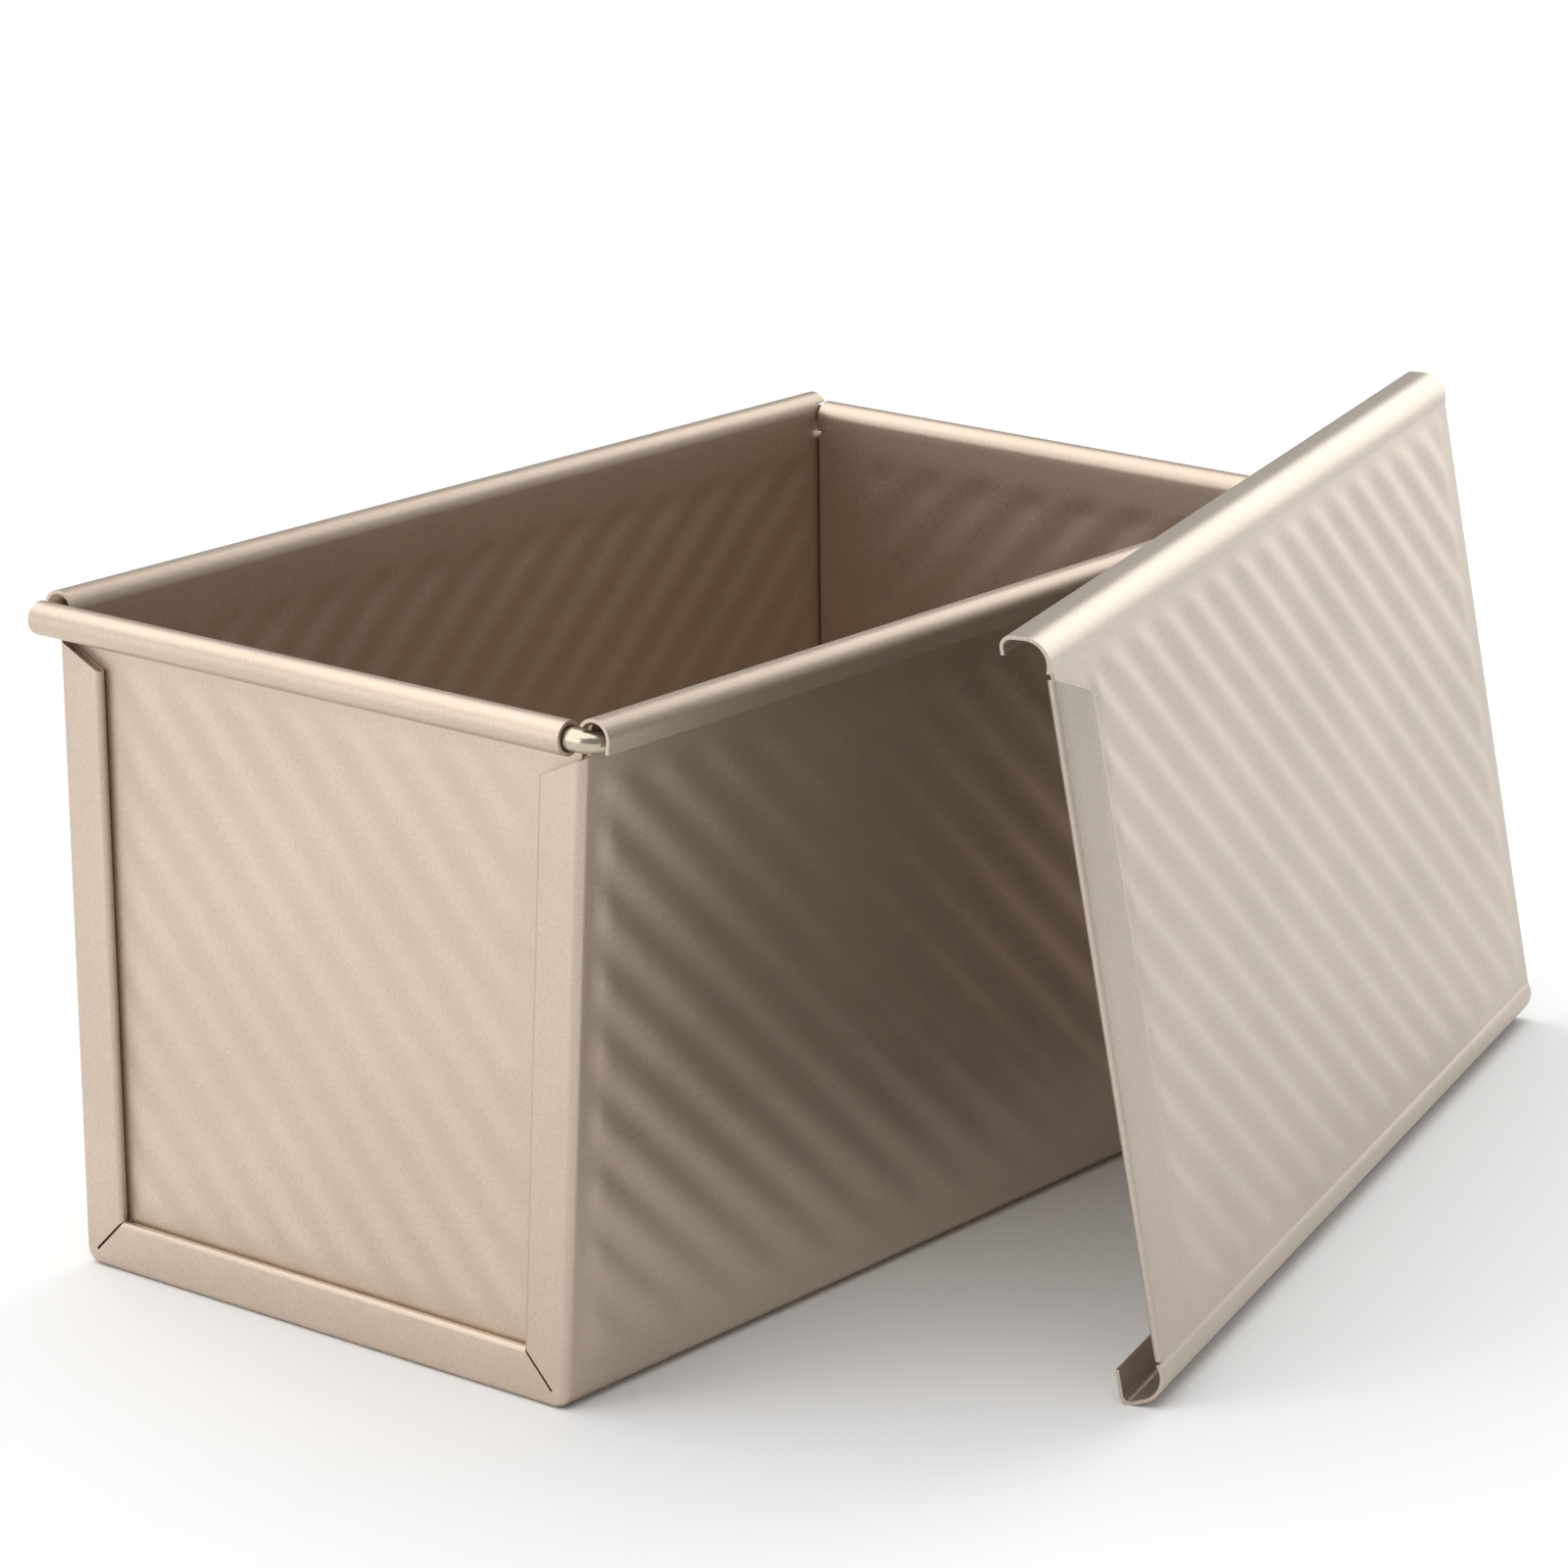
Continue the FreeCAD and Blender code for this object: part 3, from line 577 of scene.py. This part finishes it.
world = bpy.data.worlds.new("surround")
bpy.context.scene.world = world
world.use_nodes = True
world.node_tree.nodes["Background"].inputs["Color"].default_value = (1, 1, 1, 1)
world.node_tree.nodes["Background"].inputs["Strength"].default_value = 0.3


def soft_lamp(name, place, aim, width, height, watts):
    lamp = bpy.data.lights.new(name, "AREA")
    lamp.shape = "RECTANGLE"
    lamp.size = width
    lamp.size_y = height
    lamp.energy = watts
    holder = bpy.data.objects.new(name, lamp)
    holder.location = place
    holder.rotation_euler = (Vector(aim) - Vector(place)).to_track_quat("-Z", "Y").to_euler()
    holder.visible_camera = False
    bpy.context.scene.collection.objects.link(holder)


soft_lamp("top_lamp", (-0.35, 0.8, 2.2), (0, 0.15, 0), width=4.0, height=4.0, watts=82)
soft_lamp("rear_lamp", (-1.75, 0.9, 0.5), (0, 0, 0.1), width=1.1, height=1.0, watts=6.5)
soft_lamp("right_lamp", (1.8, 0.0, 0.75), (0, 0, 0.1), width=1.3, height=1.5, watts=13)

# The camera stands off the front left corner, a little above the rim, with a long lens.
camera_azimuth = math.radians(-52.235)
camera_elevation = math.radians(16.133)
camera_roll = math.radians(0.701)
camera_distance = 1.015019
aim_right, aim_up = 0.012816, 0.067067
focal_pixels = 5956.2
image_pixels = 1600
ahead = Vector((
    -math.sin(camera_azimuth) * math.cos(camera_elevation),
    math.cos(camera_azimuth) * math.cos(camera_elevation),
    -math.sin(camera_elevation),
))
level = ahead.cross(Vector((0, 0, 1))).normalized()
upward = level.cross(ahead)
right = level * math.cos(camera_roll) + upward * math.sin(camera_roll)
top = upward * math.cos(camera_roll) - level * math.sin(camera_roll)
camera_data = bpy.data.cameras.new("camera")
camera_data.sensor_width = 36
camera_data.lens = focal_pixels * camera_data.sensor_width / image_pixels
camera = bpy.data.objects.new("camera", camera_data)
stand = right * aim_right + top * aim_up - ahead * camera_distance
camera.matrix_world = Matrix.Translation(stand) @ Matrix((right, top, -ahead)).transposed().to_4x4()
bpy.context.scene.collection.objects.link(camera)
bpy.context.scene.camera = camera
bpy.context.scene.view_settings.view_transform = "Standard"
